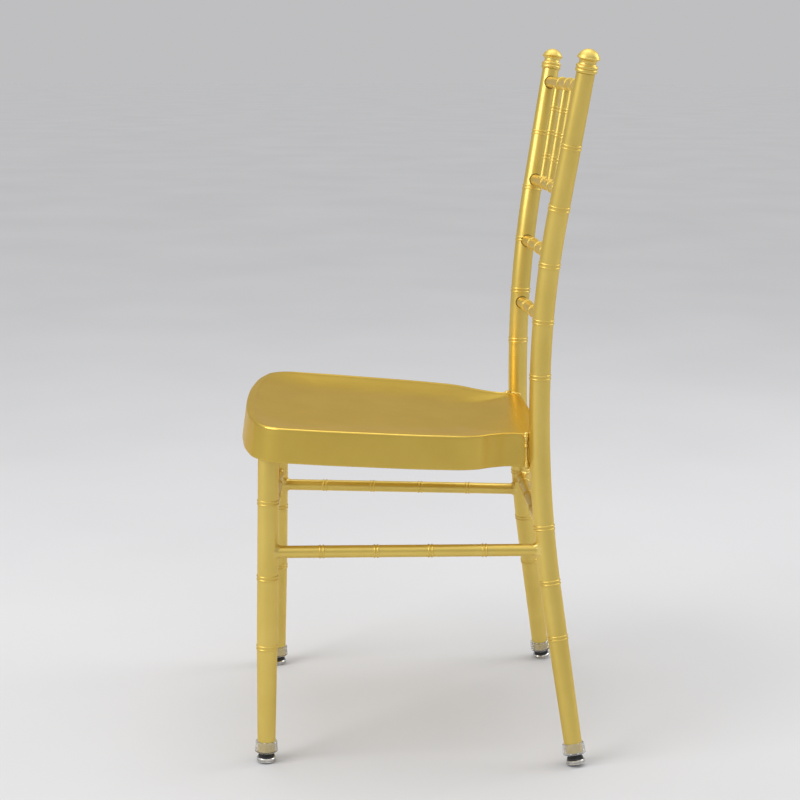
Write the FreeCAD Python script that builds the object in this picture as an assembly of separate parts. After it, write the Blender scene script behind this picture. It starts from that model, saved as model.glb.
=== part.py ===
import FreeCAD, Part
import math
import os

V = FreeCAD.Vector
UP = V(0, 0, 1)
SIDES = (("left", 1), ("right", -1))

# Millimetres. The origin is on the floor under the middle of the chair, +Z is up,
# the chair faces -Y, and its left side is +X.

# Overall height and the running fit of turned pieces
overall_height = 920.0
thread_clearance = 0.08

# Rear uprights: one bent tube each, from floor to finial
upright_diameter = 27.0
tube_wall = 1.5
upright_spacing = 295.0
upright_y = 163.5
lower_knee_height = 344.0
upper_knee_height = 608.0
lower_bend_radius = 1230.0
upper_bend_radius = 1080.0
rear_foot_spread = 60.0
rear_foot_rake = 50.5
top_spread = 45.0
top_rake = 48.5
upright_top_diameter = 23.4
leg_foot_diameter = 23.4

# Front legs: straight tubes, leaning out a little towards the floor
front_leg_diameter = 27.0
front_foot_x = 186.5
front_foot_y = -192.1
front_leg_head_height = 450.0
front_leg_head_inset = 13.5
front_leg_head_setback = 7.7
front_taper_height = 165.0

# Bamboo rings: pairs of round beads raised on the tubes
bead_width = 2.5
bead_height = 0.8
bead_shoulder = 0.1
bead_pair_pitch = 4.4
lower_ring_heights = (165.0, 236.5, 308.5)
back_ring_shares = (0.1579, 0.3049, 0.4535, 0.6011, 0.7578)
front_leg_ring_heights = (156.5, 249.5, 349.0)

# Back rails, bowed backwards, and the spindles of the top panel. Shares of the back
# run from the seat's rim at the uprights to the overall height.
rail_diameter = 16.0
rail_wall = 1.2
rail_bow = 12.0
rail_shares = {"crest_rail": 0.9043, "upper_rail": 0.6255, "middle_rail": 0.4504, "lower_rail": 0.2713}
rail_ring_counts = {"crest_rail": 4, "upper_rail": 4, "middle_rail": 5, "lower_rail": 5}
spindle_count = 5
spindle_diameter = 11.0
spindle_wall = 1.0
spindle_ring_pitch = 33.5
spindle_ring_count = 3

# Stretchers between the legs
stretcher_diameter = 16.0
stretcher_wall = 1.2
side_stretcher_front_height = 283.0
side_stretcher_rear_height = 279.0
cross_stretcher_height = 300.0
stretcher_ring_count = 4
side_stretcher_ring_pitch = 70.5
side_stretcher_ring_shift = -6.0
cross_stretcher_ring_pitch = 70.5

# Seat pan: one pressed sheet, its rim plane falling towards the back
seat_rim_height_at_uprights = 428.7
seat_fall_degrees = 3.72
sheet_thickness = 1.5
apron_depth = 44.0
apron_flare = 3.0
rim_radius = 3.0
rim_rounding_steps = 4
# Rim outline on the left, from the front middle round to the upright
seat_rim_points = (
    (0.0, -221.3), (95.0, -216.9), (150.0, -207.9), (183.0, -195.0), (197.0, -174.5),
    (198.5, -145.5), (193.5, -50.5), (184.5, 34.5), (174.0, 76.5), (153.0, 104.5),
    (140.5, 127.5), (138.0, 165.5))
seat_back_middle_y = 170.0
# Dish: distance in from the rim, and depth below it
dish_steps = ((11.0, 0.0), (24.0, 2.6), (52.0, 6.4), (95.0, 9.0))
dish_centre_y = -30.5

# Finials, turned, with the heights of their rings, neck and dome edge above the tube end
finial_length = 29.3
finial_collar_radius = 13.8
finial_neck_radius = 10.6
finial_dome_radius = 14.4
finial_waist_step = 0.9
finial_edge_rounding = 0.9
finial_levels = (2.6, 5.2, 7.6, 10.0, 13.4, 17.2, 18.5, 19.8)

# Levelling glides: a plated foot and rubber cushion on a screwed stem
glide_travel = 8.0
stem_engagement = 14.0
stem_radius = 4.0
edge_break = 0.8
dome_radius = 40.0
contact_flat_depth = 0.2
base_radius = 12.5
base_height = 7.2
base_bore_depth = 3.2
base_groove_depth = 0.8
base_groove_levels = (1.6, 2.0, 2.6, 3.0)
cushion_radius = 9.3
cushion_height = 7.0
cushion_flange_radius = 10.5
cushion_flange_height = 2.6

# Clear end sleeves over the tube ends, and the threaded plugs inside them
sleeve_gap = 0.4
sleeve_hole_clearance = 0.6
sleeve_floor = 2.2
sleeve_height = 14.4
sleeve_wall = 2.4
sleeve_flare = 0.8
plug_length = 26.0


def aligned(shape, origin, direction):
    """Turn a shape made on +Z to a direction and move it to an origin."""
    turn = FreeCAD.Rotation(UP, direction)
    placed = shape.copy()
    placed.Placement = FreeCAD.Placement(origin, turn)
    return placed


def turned(profile):
    """Solid of revolution about Z from (radius, height) corners."""
    points = [V(r, 0, h) for r, h in profile]
    face = Part.Face(Part.makePolygon(points + points[:1]))
    return face.revolve(V(0, 0, 0), UP, 360)


def fused(shapes):
    return shapes[0].multiFuse(shapes[1:])


def bead_pair(centre, direction, tube_radius, wall):
    """Two beads that stand bead_height proud of a tube and root in its wall."""
    root = tube_radius - wall / 2
    edge = tube_radius + bead_shoulder
    beads = []
    for middle in (-bead_pair_pitch / 2, bead_pair_pitch / 2):
        low = middle - bead_width / 2
        high = middle + bead_width / 2
        crown = Part.Arc(V(edge, 0, low), V(tube_radius + bead_height, 0, middle), V(edge, 0, high))
        sides = Part.makePolygon([V(edge, 0, high), V(root, 0, high), V(root, 0, low), V(edge, 0, low)])
        section = Part.Face(Part.Wire([crown.toShape()] + sides.Edges))
        beads.append(aligned(section.revolve(V(0, 0, 0), UP, 360), centre, direction))
    return beads


def spread(count, pitch):
    """Positions of a row of things about its middle."""
    return [(i - (count - 1) / 2) * pitch for i in range(count)]


def straight_tube(start, end, radius, wall, ring_positions):
    """Plain tube with bead pairs at distances from its middle, not yet coped."""
    length = (end - start).Length
    parts = [Part.makeCylinder(radius, length)]
    for position in ring_positions:
        parts += bead_pair(V(0, 0, length / 2 + position), UP, radius, wall)
    tube = fused(parts).cut(Part.makeCylinder(radius - wall, length))
    return aligned(tube, start, end - start)


class Bend:
    """One arc of an upright between its vertical middle and a leaning end."""

    def __init__(self, knee_height, end_height, spread_out, rake, radius):
        self.knee = V(upright_spacing / 2, upright_y, knee_height)
        end = V(self.knee.x + spread_out, self.knee.y + rake, end_height)
        self.direction = (end - self.knee).normalize()
        self.sense = 1 if end_height > knee_height else -1
        self.angle = UP.getAngle(self.direction * self.sense)
        self.tangent = radius * math.tan(self.angle / 2)
        self.radius = radius
        self.near = self.knee - UP * (self.sense * self.tangent)
        self.far = self.knee + self.direction * self.tangent
        self.aside = V(spread_out, rake, 0).normalize()

    def at_turn(self, angle):
        """Point and direction part of the way round the arc."""
        side = self.aside * (self.radius * (1 - math.cos(angle)))
        along = UP * (self.sense * self.radius * math.sin(angle))
        heading = UP * math.cos(angle) + self.aside * (self.sense * math.sin(angle))
        return self.near + side + along, heading

    def at_height(self, height):
        rise = self.sense * (height - self.near.z)
        if rise <= 0:
            return V(self.knee.x, self.knee.y, height), V(UP)
        if rise < self.sense * (self.far.z - self.near.z):
            return self.at_turn(math.asin(rise / self.radius))
        run = (height - self.knee.z) / self.direction.z
        return self.knee + self.direction * run, self.direction * self.sense

    def arc(self):
        return Part.Arc(self.near, self.at_turn(self.angle / 2)[0], self.far).toShape()


lower_bend = Bend(lower_knee_height, 0.0, rear_foot_spread, rear_foot_rake, lower_bend_radius)
upper_bend = Bend(upper_knee_height, overall_height, top_spread, top_rake, upper_bend_radius)


def back_height(share):
    """Height of a place on the back."""
    return seat_rim_height_at_uprights + (overall_height - seat_rim_height_at_uprights) * share


def upright_at(height):
    """Centre and upward direction of the left upright at a height."""
    middle = (lower_knee_height + upper_knee_height) / 2
    return (upper_bend if height > middle else lower_bend).at_height(height)


def front_leg_at(height):
    share = height / front_leg_head_height
    x = front_foot_x - front_leg_head_inset * share
    return V(x, front_foot_y + front_leg_head_setback * share, height)


class Foot:
    """Places along one leg's axis, measured up from the foot's lowest point."""

    def __init__(self, point, upward):
        self.upward = V(upward).normalize()
        to_centre = (dome_radius - contact_flat_depth - point.z) / self.upward.z
        self.apex = point + self.upward * (to_centre - dome_radius)

    def place(self, shape, distance=0.0):
        return aligned(shape, self.apex + self.upward * distance, self.upward)


sleeve_bottom = base_height + cushion_height + sleeve_gap
tube_end = sleeve_bottom + sleeve_floor

rear_foot = Foot(lower_bend.at_height(dome_radius)[0], lower_bend.direction * -1)
front_foot = Foot(front_leg_at(dome_radius), front_leg_at(front_leg_head_height) - front_leg_at(0))


def tapered(start, end, start_radius, end_radius, wall):
    """Outside and inside of a tapering straight tube."""
    length = (end - start).Length
    shapes = []
    for inset in (0, wall):
        if start_radius == end_radius:
            shape = Part.makeCylinder(start_radius - inset, length)
        else:
            shape = Part.makeCone(start_radius - inset, end_radius - inset, length)
        shapes.append(aligned(shape, start, end - start))
    return shapes


def swept(path, start, direction, radius):
    circle = Part.Wire(Part.Circle(start, direction, radius).toShape())
    return path.makePipeShell([circle], True, False)


def cap_sphere(radius, rise):
    """Radius of the sphere whose cap has this rim radius and rise."""
    return (radius ** 2 + rise ** 2) / (2 * rise)


# The finial's domed head, leaning with the tube, just reaches the overall height
finial_edge = finial_dome_radius - finial_edge_rounding
finial_lift = cap_sphere(finial_edge, finial_length - finial_levels[-1]) * (1 - upper_bend.direction.z)
finial_seat = upper_bend.knee + upper_bend.direction * (
    (overall_height - finial_lift - upper_knee_height) / upper_bend.direction.z - finial_length)


def make_upright():
    """Left rear upright: its outside as one solid, and its bore."""
    radius = upright_diameter / 2
    foot_end = rear_foot.apex + rear_foot.upward * tube_end
    middle = Part.LineSegment(lower_bend.near, upper_bend.near).toShape()
    path = Part.Wire([lower_bend.arc(), middle, upper_bend.arc()])
    heading = lower_bend.direction * -1
    foot_outer, foot_inner = tapered(foot_end, lower_bend.far, leg_foot_diameter / 2, radius, tube_wall)
    top_outer, top_inner = tapered(upper_bend.far, finial_seat, radius, upright_top_diameter / 2, tube_wall)
    middle_outer = swept(path, lower_bend.far, heading, radius)
    middle_inner = swept(path, lower_bend.far, heading, radius - tube_wall)
    beads = []
    for height in lower_ring_heights + tuple(back_height(share) for share in back_ring_shares):
        centre, direction = upright_at(height)
        beads += bead_pair(centre, direction, upright_radius_at(height), tube_wall)
    outer = fused([middle_outer, foot_outer, top_outer] + beads)
    return outer, fused([middle_inner, foot_inner, top_inner])


def upright_radius_at(height):
    """Tube radius, with the tapers of the straight ends."""
    radius = upright_diameter / 2
    if height > upper_bend.far.z:
        share = (height - upper_bend.far.z) / (finial_seat.z - upper_bend.far.z)
        return radius + (upright_top_diameter / 2 - radius) * share
    if height < lower_bend.far.z:
        low = rear_foot.apex.z + tube_end * rear_foot.upward.z
        share = (lower_bend.far.z - height) / (lower_bend.far.z - low)
        return radius + (leg_foot_diameter / 2 - radius) * share
    return radius


def make_front_leg():
    """Left front leg, run on past the seat sheet: its outside, and its bore."""
    radius = front_leg_diameter / 2
    foot_end = front_foot.apex + front_foot.upward * tube_end
    waist = front_leg_at(front_taper_height)
    head = front_leg_at(front_leg_head_height) + front_foot.upward * front_leg_diameter
    foot_outer, foot_inner = tapered(foot_end, waist, leg_foot_diameter / 2, radius, tube_wall)
    top_outer, top_inner = tapered(waist, head, radius, radius, tube_wall)
    beads = []
    for height in front_leg_ring_heights:
        share = min(1.0, (height - foot_end.z) / (waist.z - foot_end.z))
        tube_radius = leg_foot_diameter / 2 + (radius - leg_foot_diameter / 2) * share
        beads += bead_pair(front_leg_at(height), front_foot.upward, tube_radius, tube_wall)
    return fused([foot_outer, top_outer] + beads), fused([foot_inner, top_inner])


def seat_plane(shape):
    """Lean a shape made on the level rim plane to the real one."""
    fall = FreeCAD.Rotation(V(1, 0, 0), -seat_fall_degrees)
    origin = V(0, upright_y, seat_rim_height_at_uprights)
    placed = shape.copy()
    placed.Placement = FreeCAD.Placement(origin, fall, V(0, 0, 0)).multiply(
        FreeCAD.Placement(V(0, -upright_y, 0), FreeCAD.Rotation()))
    return placed


def rim_wire(outset, height):
    """Seat outline moved outwards, as a side spline and a back arc."""
    side = [V(x, y, 0) for x, y in seat_rim_points]
    moved = []
    for i, point in enumerate(side):
        if i == 0:
            moved.append(point + V(0, -outset, 0))
        elif i == len(side) - 1:
            moved.append(point + V(outset, 0, 0))
        else:
            run = (side[i + 1] - side[i - 1]).normalize()
            moved.append(point + V(run.y, -run.x, 0) * outset)
    left = [V(p.x, p.y, height) for p in moved]
    right = [V(-p.x, p.y, height) for p in reversed(left[1:])]
    spline = Part.BSplineCurve()
    spline.interpolate(right + left)
    back_middle = V(0, seat_back_middle_y + outset, height)
    back = Part.Arc(left[-1], back_middle, right[0]).toShape()
    return Part.Wire([spline.toShape(), back])


def dish_wire(inset, height):
    """Closed smooth line inside the rim, drawn in towards the dish centre."""
    centre = V(0, dish_centre_y, 0)
    side = [V(x, y, 0) for x, y in seat_rim_points] + [V(0, seat_back_middle_y, 0)]
    ring = side + [V(-p.x, p.y, 0) for p in reversed(side[1:-1])]
    drawn = []
    for point in ring:
        reach = (point - centre).Length
        inner = centre + (point - centre) * ((reach - inset) / reach)
        drawn.append(V(inner.x, inner.y, height))
    spline = Part.BSplineCurve()
    spline.interpolate(Points=drawn, PeriodicFlag=True)
    return Part.Wire(spline.toShape())


def make_dish(lowered):
    """The space over the seat's surface, moved down by a distance."""
    first_inset, first_depth = dish_steps[0]
    wires = [dish_wire(first_inset, 1.0)]
    wires += [dish_wire(inset, -depth) for inset, depth in dish_steps]
    bowl = Part.makeLoft(wires, True, True)
    bowl.translate(V(0, 0, -lowered))
    return bowl


def make_seat(upright_outers):
    """Seat pan: drafted block, rounded rim, dished top, hollowed and coped to the uprights."""
    outside = [rim_wire(apron_flare, -apron_depth)]
    for step in range(rim_rounding_steps + 1):
        turn = math.radians(90) * step / rim_rounding_steps
        outside.append(rim_wire(rim_radius * (math.cos(turn) - 1), rim_radius * (math.sin(turn) - 1)))
    block = Part.makeLoft(outside, True, True)
    hollow = Part.makeLoft([
        rim_wire(apron_flare - sheet_thickness, -apron_depth), rim_wire(-sheet_thickness, -rim_radius),
        rim_wire(-rim_radius, -sheet_thickness)], True, True)
    hollow = hollow.cut(make_dish(sheet_thickness))
    pan = seat_plane(block.cut(make_dish(0)).cut(hollow))
    return pan.cut(fused(upright_outers))


def largest(shape):
    return max(shape.Solids, key=lambda solid: solid.Volume)


def mirrored(shape):
    return shape.mirror(V(0, 0, 0), V(1, 0, 0))


def cap_arc(radius, edge_height, apex_height):
    """Arc of a spherical cap from its edge to its apex on the Z axis."""
    sphere = cap_sphere(radius, apex_height - edge_height)
    half_angle = math.asin(radius / abs(sphere)) / 2
    middle = V(abs(sphere) * math.sin(half_angle), 0, apex_height - sphere * (1 - math.cos(half_angle)))
    return Part.Arc(V(radius, 0, edge_height), middle, V(0, 0, apex_height))


def make_finial():
    """Turned finial on +Z: two collar rings, a waisted neck and a domed head."""
    base = upright_top_diameter / 2
    waist = base + finial_waist_step
    edge = finial_edge
    levels = finial_levels
    edges = [
        Part.LineSegment(V(0, 0, 0), V(base, 0, 0)),
        Part.Arc(V(base, 0, 0), V(finial_collar_radius, 0, levels[0]), V(waist, 0, levels[1])),
        Part.Arc(V(waist, 0, levels[1]), V(finial_collar_radius, 0, levels[2]), V(base, 0, levels[3])),
        Part.Arc(V(base, 0, levels[3]), V(finial_neck_radius, 0, levels[4]), V(edge, 0, levels[5])),
        Part.Arc(V(edge, 0, levels[5]), V(finial_dome_radius, 0, levels[6]), V(edge, 0, levels[7])),
        cap_arc(edge, levels[7], finial_length),
        Part.LineSegment(V(0, 0, finial_length), V(0, 0, 0))]
    section = Part.Face(Part.Wire([e.toShape() for e in edges]))
    return section.revolve(V(0, 0, 0), UP, 360)


class Rail:
    """Centre line of a back rail: a flat arc from upright to upright, bowed backwards."""

    def __init__(self, name):
        self.end = upright_at(back_height(rail_shares[name]))[0]
        self.bend_radius = (self.end.x ** 2 + rail_bow ** 2) / (2 * rail_bow)
        self.centre = V(0, self.end.y + rail_bow - self.bend_radius, self.end.z)
        count = rail_ring_counts[name]
        panels = spindle_count + 1 if count == spindle_count - 1 else count + 1
        self.ring_places = spread(count, 2 * self.end.x / panels)

    def at(self, x):
        """Point and direction where the rail crosses a distance from the middle."""
        y = math.sqrt(self.bend_radius ** 2 - x ** 2)
        return self.centre + V(x, y, 0), V(y, -x, 0)

    def path(self):
        points = [self.at(x)[0] for x in (-self.end.x, 0, self.end.x)]
        return Part.Wire([Part.Arc(*points).toShape()])


def make_rail(rail, upright_outers):
    """Outside of a whole rail, and the finished tube coped to both uprights."""
    start, heading = rail.at(-rail.end.x)
    radius = rail_diameter / 2
    parts = [swept(rail.path(), start, heading, radius)]
    for x in rail.ring_places:
        parts += bead_pair(*rail.at(x), radius, rail_wall)
    outer = fused(parts)
    tube = outer.cut(swept(rail.path(), start, heading, radius - rail_wall))
    return outer, tube.cut(fused(upright_outers))


def make_spindle(share, crest, upper, rail_outers):
    """Spindle at a share of the back's width, coped to the crest and upper rails."""
    top = crest.at(share * 2 * crest.end.x)[0]
    bottom = upper.at(share * 2 * upper.end.x)[0]
    rings = spread(spindle_ring_count, spindle_ring_pitch)
    tube = straight_tube(bottom, top, spindle_diameter / 2, spindle_wall, rings)
    return tube.cut(fused(rail_outers))


def stretcher(start, end, ring_positions, neighbours):
    tube = straight_tube(start, end, stretcher_diameter / 2, stretcher_wall, ring_positions)
    return tube.cut(fused(neighbours))


def glide_base(foot):
    """Plated foot: domed underneath, with a flat where it meets the floor and a grooved rim."""
    edge = dome_radius - math.sqrt(dome_radius ** 2 - base_radius ** 2)
    groove = base_radius - base_groove_depth
    low, groove_low, groove_high, high = [edge + level for level in base_groove_levels]
    bore_low = base_height - base_bore_depth
    flank = Part.makePolygon([
        V(base_radius, 0, edge), V(base_radius, 0, low), V(groove, 0, groove_low), V(groove, 0, groove_high),
        V(base_radius, 0, high), V(base_radius, 0, base_height - edge_break),
        V(base_radius - edge_break, 0, base_height), V(stem_radius, 0, base_height),
        V(stem_radius, 0, bore_low), V(0, 0, bore_low), V(0, 0, 0)])
    section = Part.Face(Part.Wire([cap_arc(base_radius, edge, 0).toShape()] + flank.Edges))
    base = foot.place(section.revolve(V(0, 0, 0), UP, 360))
    floor = Part.makeBox(4 * dome_radius, 4 * dome_radius, dome_radius)
    floor.translate(V(foot.apex.x - 2 * dome_radius, foot.apex.y - 2 * dome_radius, -dome_radius))
    return base.cut(floor)


def glide_cushion(foot):
    cushion = turned([
        (stem_radius, 0), (cushion_flange_radius, 0), (cushion_flange_radius, cushion_flange_height),
        (cushion_radius, cushion_flange_height + edge_break), (cushion_radius, cushion_height),
        (stem_radius, cushion_height)])
    return foot.place(cushion, base_height)


def glide_sleeve(foot):
    """Clear cup round the end of a leg, with a hole for the stem."""
    tube_radius = leg_foot_diameter / 2
    hole = stem_radius + sleeve_hole_clearance
    outer = tube_radius + sleeve_wall
    sleeve = turned([
        (hole, 0), (outer + sleeve_flare - edge_break, 0), (outer + sleeve_flare, edge_break),
        (outer + sleeve_flare, sleeve_floor), (outer, sleeve_height - edge_break),
        (outer - edge_break, sleeve_height), (tube_radius, sleeve_height), (tube_radius, sleeve_floor),
        (hole, sleeve_floor)])
    return foot.place(sleeve, sleeve_bottom)


def glide_stem(foot):
    start = base_height - base_bore_depth
    length = tube_end - start + glide_travel + stem_engagement
    stem = turned([(0, 0), (stem_radius, 0), (stem_radius, length - edge_break),
                   (stem_radius - edge_break, length), (0, length)])
    return foot.place(stem, start)


def make_plug(foot, bore):
    """Threaded insert that fills the end of a leg's bore."""
    blank = foot.place(Part.makeCylinder(leg_foot_diameter, plug_length), tube_end)
    hole = foot.place(Part.makeCylinder(stem_radius + thread_clearance, plug_length), tube_end)
    return blank.common(bore).cut(hole)


def save(name, shape):
    shape.Solids[0].exportStep("parts/" + name + ".step")


def save_pair(name, shape):
    """The left piece and its mirror image on the right."""
    save(name + "_left", shape)
    save(name + "_right", mirrored(shape))


os.makedirs("parts", exist_ok=True)

upright_outer, upright_bore = make_upright()
both_uprights = [upright_outer, mirrored(upright_outer)]
save_pair("rear_upright", upright_outer.cut(upright_bore))
save_pair("finial", aligned(make_finial(), finial_seat, upper_bend.direction))

seat_pan = make_seat(both_uprights)
save("seat_pan", seat_pan)

leg_outer, leg_bore = make_front_leg()
save_pair("front_leg", largest(leg_outer.cut(leg_bore).cut(seat_pan)))

rails = {}
rail_outers = {}
for name in rail_shares:
    rails[name] = Rail(name)
    rail_outers[name], rail_tube = make_rail(rails[name], both_uprights)
    save(name, rail_tube)

panel_rails = ("crest_rail", "upper_rail")
for index, share in enumerate(spread(spindle_count, 1 / (spindle_count + 1))):
    spindle = make_spindle(share, *[rails[n] for n in panel_rails], [rail_outers[n] for n in panel_rails])
    save("spindle_" + str(index + 1), spindle)

side_start = front_leg_at(side_stretcher_front_height)
side_end = upright_at(side_stretcher_rear_height)[0]
side_rings = [p + side_stretcher_ring_shift for p in spread(stretcher_ring_count, side_stretcher_ring_pitch)]
save_pair("side_stretcher", stretcher(side_start, side_end, side_rings, [leg_outer, upright_outer]))

cross_rings = spread(stretcher_ring_count, cross_stretcher_ring_pitch)
front_end = front_leg_at(cross_stretcher_height)
rear_end = upright_at(cross_stretcher_height)[0]
for name, end, post in (("front_stretcher", front_end, leg_outer), ("rear_stretcher", rear_end, upright_outer)):
    start = V(-end.x, end.y, end.z)
    save(name, stretcher(start, end, cross_rings, [post, mirrored(post)]))

feet = (("front", front_foot, leg_outer, leg_bore), ("rear", rear_foot, upright_outer, upright_bore))
for place, foot, tube, bore in feet:
    save_pair("glide_base_" + place, glide_base(foot))
    save_pair("glide_cushion_" + place, glide_cushion(foot))
    save_pair("glide_sleeve_" + place, glide_sleeve(foot).cut(tube))
    save_pair("glide_stem_" + place, glide_stem(foot))
    save_pair("foot_plug_" + place, make_plug(foot, bore))
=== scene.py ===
import math

import bmesh
import bpy
from mathutils import Matrix, Vector, noise


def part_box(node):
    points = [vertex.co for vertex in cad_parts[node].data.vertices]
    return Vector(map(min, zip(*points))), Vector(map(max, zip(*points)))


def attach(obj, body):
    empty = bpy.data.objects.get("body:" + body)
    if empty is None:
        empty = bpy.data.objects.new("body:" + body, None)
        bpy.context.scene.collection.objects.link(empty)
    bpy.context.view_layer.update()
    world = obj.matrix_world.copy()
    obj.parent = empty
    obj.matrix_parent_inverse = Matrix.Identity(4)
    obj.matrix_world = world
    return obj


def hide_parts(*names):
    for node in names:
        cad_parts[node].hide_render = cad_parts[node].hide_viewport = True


# A gold chiavari chair: ringed tubes, a pressed seat and the weld metal that joins them
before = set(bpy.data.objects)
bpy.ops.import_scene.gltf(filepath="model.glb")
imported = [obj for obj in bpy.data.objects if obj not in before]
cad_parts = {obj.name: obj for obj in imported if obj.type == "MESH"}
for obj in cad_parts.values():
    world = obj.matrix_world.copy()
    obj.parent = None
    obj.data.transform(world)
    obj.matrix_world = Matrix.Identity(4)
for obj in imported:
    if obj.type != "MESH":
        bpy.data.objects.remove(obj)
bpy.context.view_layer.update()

UP = Vector((0, 0, 1))
SIDES = (("left", 1), ("right", -1))

# Sizes in metres: +Z is up, the chair faces -Y and its left side is +X
overall_height = 0.920
seat_rim_height = 0.4287
upright_radius = 0.0135
upright_x = 0.1475
upright_y = 0.1635
lower_knee, upper_knee = 0.344, 0.608
lower_bend_radius, upper_bend_radius = 1.230, 1.080
foot_spread, foot_rake = 0.060, 0.0505
top_spread, top_rake = 0.045, 0.0485
tube_end_radius = 0.0117
lower_rings = (0.165, 0.2365, 0.3085)
# Ring heights as shares of the back, from the seat's rim to the overall height
back_ring_shares = (0.1579, 0.3049, 0.4535, 0.6011, 0.7578)
upright_step = 0.008

front_leg_foot = Vector((0.1865, -0.1921, 0.0))
front_leg_head = Vector((0.1730, -0.1844, 0.450))
front_leg_rings = (0.1565, 0.2495, 0.349)
front_leg_top = 0.4445
front_taper_height = 0.165
front_leg_step = 0.012

bead_height, bead_width, bead_pitch = 0.0009, 0.0026, 0.0044
tube_sides, spindle_sides, bead_sides = 48, 36, 12

rail_radius = 0.008
rail_bow = 0.012
rail_inset = upright_radius * 0.4
rail_step = 0.008
# Each rail's share of the back and its ring count
rails = {
    "crest_rail": (0.9043, 4),
    "upper_rail": (0.6255, 4),
    "middle_rail": (0.4504, 5),
    "lower_rail": (0.2713, 5),
}
spindle_count = 5
spindle_radius = 0.0055
spindle_ring_count, spindle_ring_pitch = 3, 0.0335

stretcher_radius = 0.008
side_stretcher_heights = (0.283, 0.279)
cross_stretcher_height = 0.300
stretcher_ring_count, stretcher_ring_pitch = 4, 0.0705
side_ring_shift = -0.006
straight_inset, straight_step = 0.004, 0.02

# Weld runs: facets, one ripple's shape, its least and greatest swell, and its pitch as a share of the radius
weld_sides = 14
ripple_shape = (1.08, 1.08, 0.75)
ripple_swell = (0.96, 1.16)
ripple_pitch_share = 0.9
# Painted shadow rings at the rail ends: radius, lift off the rail, and points round
seam_radius, seam_lift, seam_points = 0.0006, 0.0004, 40
spindle_weld_radius, spindle_weld_points = 0.0010, 28

# Fillets at the stretchers: steps of the arc, how deep the metal sits, and its ripples and lumps
weld_throat = 0.0045
cross_weld_throat = 1.25 * weld_throat
fillet_points, fillet_steps = 56, 7
fillet_sink, fillet_bite, fillet_root = 0.0003, 0.0004, 0.001
fillet_ripple_count, fillet_ripple_height = 9, 0.00022
fillet_lump_height, fillet_lump_rate = 0.0005, 180

# Weld between the seat and the upright
seat_weld_rows, collar_steps = 14, 12
seat_weld_radius, front_bead_radius = 0.0015, 0.0018
collar_gap, collar_sink = 0.0005, 0.0002
outer_shift, inner_shift = Vector((0.0006, -0.0006, 0)), Vector((-0.0008, 0.0004, 0))
front_bead_shift = Vector((0.0014, -0.0068, 0))
outer_girth, collar_girth, inner_girth, inner_end_swell = 0.8, 0.85, 0.7, 0.5
inner_end_reach = (0.3, 0.45)
# Swellings of the front bead: how much each adds, and where, in shares of the way down
low_blob, low_blob_reach = 1.0, (0.74, 0.88)
high_blob, high_blob_reach = 1.2, (0.26, 0.1)
lump, lump_place, lump_half = 0.7, 0.34, 0.04
halvings = 30

seat_fall = math.radians(3.72)
sheet_thickness = 0.0015
apron_depth = 0.044
apron_flare = 0.003
rim_radius = 0.003
rim_points, rim_steps = 288, 6
seat_outline = (
    (0.0, -0.2213), (0.095, -0.2169), (0.150, -0.2079), (0.183, -0.195), (0.197, -0.1745),
    (0.1985, -0.1455), (0.1935, -0.0505), (0.1845, 0.0345), (0.174, 0.0765), (0.153, 0.1045),
    (0.1405, 0.1275), (0.138, 0.1655))
seat_back_y = 0.170
seat_back_quarter_x, seat_back_bow = 0.07, 0.0012
dish_centre = Vector((0.0, -0.0305, 0.0))
dish_crease, dish_reach, dish_depth = 0.011, 0.084, 0.009
# Softness of the dish's edge: crisp at the front, softer by the added part towards the sides and the back
crisp_edge, added_softness = 0.012, 0.16
side_facing, front_facing = 0.45, 0.85
# The crease fades over these distances from the rim, and where the dish's edge grows softer than the limit
crease_drop, crease_width = 0.0008, 0.0014
crease_fade_start, crease_fade_end = 0.02, 0.075
crease_softness_limit = 0.08
# Slight waves of the sheet: height, rate per metre, and where they fade in from the rim and from the middle
wave_height, wave_rate, wave_layer = 0.00015, (16, 10), 3.0
wave_rim_fade, wave_middle_fade = (0.012, 0.05), (0.01, 0.06)
# Rows of the sheet: shares down the apron, distances in from the rim, shares of the way left to the middle
apron_rows = (1, 0.97, 0.85, 0.65, 0.45, 0.25, 0.1)
dish_rows = (
    0.005, 0.0075, 0.0095, 0.0106, 0.0111, 0.0116, 0.0121, 0.0127, 0.0145, 0.018, 0.024, 0.032, 0.042, 0.054,
    0.068, 0.084)
middle_rows = (0.15, 0.3, 0.45, 0.6, 0.75, 0.88, 0.97)

finial_length = 0.0293
finial_gap = 0.0006

# Floor, sky and lamps; each tone of the sky is (height, colour), and each lamp is (name, place, width, watts)
floor_reach = 45.0
sky_tones = (
    (0.0, (0.52, 0.52, 0.53)),
    (0.06, (0.52, 0.52, 0.53)),
    (0.2, (0.42, 0.42, 0.43)),
    (0.42, (0.44, 0.44, 0.45)),
    (0.75, (1.0, 1.0, 1.0)),
)
lamps = (
    ("key", (1.2, -2.3, 2.2), 1.7, 42),
    ("fill", (-0.6, 2.5, 1.9), 1.5, 20),
    ("top", (-0.4, 0.0, 3.0), 1.8, 12),
)
lamp_target = Vector((0, 0, 0.4))

camera_place = Vector((2.3369, -0.0813, 0.9178))
camera_heading, camera_tilt, camera_roll = (math.radians(a) for a in (1.692, 11.400, 0.189))
focal_length, sensor_width = 78.17, 36.0


# Materials

def shader(name):
    """A new node material: the material, its nodes, its links and its main shader."""
    material = bpy.data.materials.new(name)
    material.use_nodes = True
    nodes = material.node_tree.nodes
    return material, nodes, material.node_tree.links, nodes["Principled BSDF"]


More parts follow.
